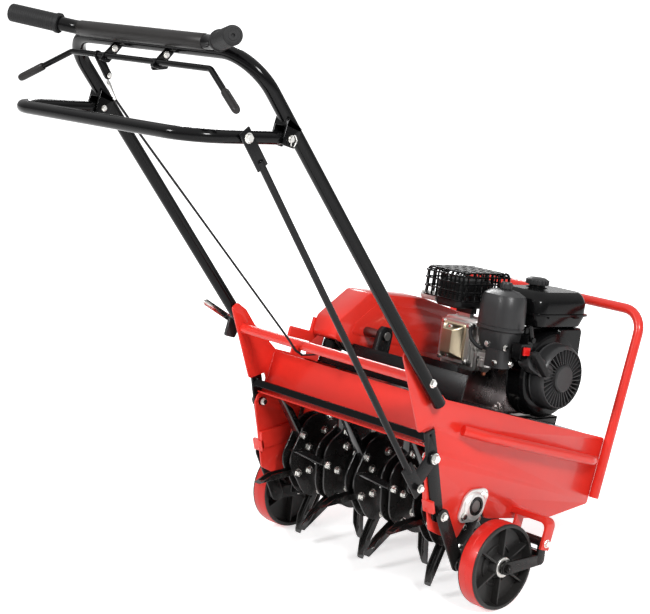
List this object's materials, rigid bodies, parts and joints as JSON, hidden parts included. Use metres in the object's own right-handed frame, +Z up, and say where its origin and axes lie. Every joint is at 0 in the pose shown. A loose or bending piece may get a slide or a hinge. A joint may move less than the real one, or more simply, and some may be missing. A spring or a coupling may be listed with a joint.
{
  "type": "lawn aerator",
  "caption": "Walk-behind lawn aerator with a drum of spoon tines, wheels on a lift linkage, a tube handle and a small petrol engine.",
  "frame": {"origin": "bottom centre of the bounding box, on the floor the wheels stand on", "axes": "+X is the machine's right, +Y is forward (travel direction), +Z is up"},
  "size_m": [0.666, 1.1747, 1.1185],
  "materials": {
    "red_paint": "gloss",
    "black_paint": "semi-gloss",
    "bare_steel": "zinc plated",
    "cast_aluminium": "cast",
    "black_plastic": "satin",
    "black_rubber": "matte",
    "red_rubber": "matte",
    "red_plastic": "gloss"
  },
  "bodies": {
    "chassis": {"side_panel_left": "red_paint", "side_panel_right": "red_paint", "rear_cover": "red_paint", "rear_cross_tube": "red_paint", "front_hoop": "red_paint", "bumper_tube_left": "red_paint", "bumper_tube_right": "red_paint", "front_cross_member": "red_paint", "belt_guard": "red_paint", "engine_deck": "black_paint", "engine_bed": "black_paint", "bearing_plate_left": "black_paint", "bearing_plate_right": "black_paint", "handle_frame": "black_paint", "handlebar": "black_paint", "muffler": "black_paint", "muffler_guard": "black_paint", "bearing_flange_left": "bare_steel", "bearing_flange_right": "bare_steel", "drive_chain": "bare_steel", "idler_spring": "bare_steel", "engine_block": "cast_aluminium", "cylinder_head": "cast_aluminium", "carburettor": "cast_aluminium", "air_filter_base": "black_plastic", "air_filter_cover": "black_plastic", "fuel_tank": "black_plastic", "blower_housing": "black_plastic", "recoil_cover": "black_plastic", "grip_left": "black_rubber", "grip_right": "black_rubber", "clutch_cable": "black_rubber", "drive_belt": "black_rubber", "breather_hose": "black_rubber"},
    "drum": {"tine_shaft": "bare_steel", "tine_rotor_1": "black_paint", "tine_rotor_2": "black_paint", "tine_rotor_3": "black_paint", "tine_rotor_4": "black_paint", "tine_rotor_5": "black_paint"},
    "layshaft": {"layshaft": "bare_steel"},
    "engine_shaft": {"engine_pulley": "bare_steel"},
    "idler": {"idler_arm": "black_paint"},
    "clutch_lever": {"clutch_lever": "black_paint"},
    "bail": {"lift_bail": "black_paint"},
    "rod": {"lift_rod": "black_paint"},
    "crank": {"lift_crank": "black_paint"},
    "link_left": {"link_left": "black_paint"},
    "link_right": {"link_right": "black_paint"},
    "fork_left": {"fork_left": "black_paint"},
    "fork_right": {"fork_right": "black_paint"},
    "wheel_left": {"wheel_core_left": "black_plastic", "wheel_tread_left": "red_rubber"},
    "wheel_right": {"wheel_core_right": "black_plastic", "wheel_tread_right": "red_rubber"},
    "nose_wheel": {"nose_wheel": "black_rubber"},
    "starter_grip": {"starter_grip": "black_rubber"},
    "throttle": {"throttle_lever": "bare_steel"},
    "switch": {"engine_switch": "red_plastic"},
    "fuel_cap": {"fuel_cap": "black_plastic"}
  },
  "joints": [
    {"name": "drum_spin", "type": "hinge", "parent": "chassis", "child": "drum", "pos_m": [0, 0.0839, 0.18868], "axis": [1, 0, 0], "continuous": true},
    {"name": "layshaft_spin", "type": "hinge", "parent": "chassis", "child": "layshaft", "pos_m": [0, 0.14979, 0.44402], "axis": [1, 0, 0], "continuous": true},
    {"name": "engine_shaft_spin", "type": "hinge", "parent": "chassis", "child": "engine_shaft", "pos_m": [0, 0.40859, 0.35646], "axis": [1, 0, 0], "continuous": true},
    {"name": "clutch_squeeze", "type": "hinge", "parent": "chassis", "child": "clutch_lever", "pos_m": [0, -0.48607, 1.03944], "axis": [-1, 0, 0], "range_deg": [0, 40], "stiffness_Nm_per_rad": 3, "springref_deg": -5.73},
    {"name": "idler_swing", "type": "hinge", "parent": "chassis", "child": "idler", "pos_m": [0, 0.19184, 0.35826], "axis": [1, 0, 0], "range_deg": [0, 14], "deforming": ["idler_spring"]},
    {"name": "bail_lift", "type": "hinge", "parent": "chassis", "child": "bail", "pos_m": [0, -0.39037, 0.9288], "axis": [1, 0, 0], "range_deg": [0, 36]},
    {"name": "rod_swing", "type": "hinge", "parent": "bail", "child": "rod", "pos_m": [0.264, -0.47836, 0.93954], "axis": [1, 0, 0], "range_deg": [-32, 0]},
    {"name": "crank_turn", "type": "hinge", "parent": "chassis", "child": "crank", "pos_m": [0, -0.03034, 0.30965], "axis": [1, 0, 0], "range_deg": [0, 63]},
    {"name": "link_left_swing", "type": "hinge", "parent": "crank", "child": "link_left", "pos_m": [-0.245, -0.01389, 0.19622], "axis": [1, 0, 0], "range_deg": [-106, 0]},
    {"name": "link_right_swing", "type": "hinge", "parent": "crank", "child": "link_right", "pos_m": [0.245, -0.01389, 0.19622], "axis": [1, 0, 0], "range_deg": [-106, 0]},
    {"name": "fork_left_lift", "type": "hinge", "parent": "chassis", "child": "fork_left", "pos_m": [-0.29, 0.19423, 0.10776], "axis": [1, 0, 0], "range_deg": [-27, 0]},
    {"name": "fork_right_lift", "type": "hinge", "parent": "chassis", "child": "fork_right", "pos_m": [0.29, 0.19423, 0.10776], "axis": [1, 0, 0], "range_deg": [-27, 0]},
    {"name": "wheel_left_spin", "type": "hinge", "parent": "fork_left", "child": "wheel_left", "pos_m": [-0.29, 0.0928, 0.0835], "axis": [1, 0, 0], "continuous": true},
    {"name": "wheel_right_spin", "type": "hinge", "parent": "fork_right", "child": "wheel_right", "pos_m": [0.29, 0.0928, 0.0835], "axis": [1, 0, 0], "continuous": true},
    {"name": "nose_wheel_spin", "type": "hinge", "parent": "chassis", "child": "nose_wheel", "pos_m": [0, 0.39057, 0.05], "axis": [1, 0, 0], "continuous": true},
    {"name": "starter_pull", "type": "slide", "parent": "chassis", "child": "starter_grip", "axis": [0, -0.8126, 0.5828], "range_m": [0, 0.5], "stiffness_N_per_m": 30, "springref_m": -0.1},
    {"name": "throttle_turn", "type": "hinge", "parent": "chassis", "child": "throttle", "pos_m": [0.168, 0.32415, 0.44919], "axis": [1, 0, 0], "range_deg": [-25, 25]},
    {"name": "switch_rock", "type": "hinge", "parent": "chassis", "child": "switch", "pos_m": [0.1723, 0.29939, 0.43215], "axis": [0, 0.1702, 0.9854], "range_deg": [0, 16]},
    {"name": "fuel_cap_turn", "type": "hinge", "parent": "chassis", "child": "fuel_cap", "pos_m": [0.078, 0.44205, 0.52665], "axis": [0, 0.1702, 0.9854], "range_deg": [0, 90]}
  ],
  "couplings": [
    {"joint": "layshaft_spin", "follows": "drum_spin", "ratio": 2.1818},
    {"joint": "engine_shaft_spin", "follows": "drum_spin", "ratio": 4.4628},
    {"joint": "idler_swing", "follows": "clutch_squeeze", "ratio": 0.32},
    {"joint": "rod_swing", "follows": "bail_lift", "ratio": -0.873},
    {"joint": "crank_turn", "follows": "bail_lift", "ratio": 1.7198},
    {"joint": "link_left_swing", "follows": "bail_lift", "ratio": -2.9043},
    {"joint": "link_right_swing", "follows": "bail_lift", "ratio": -2.9043},
    {"joint": "fork_left_lift", "follows": "bail_lift", "ratio": -0.7157},
    {"joint": "fork_right_lift", "follows": "bail_lift", "ratio": -0.7157}
  ]
}
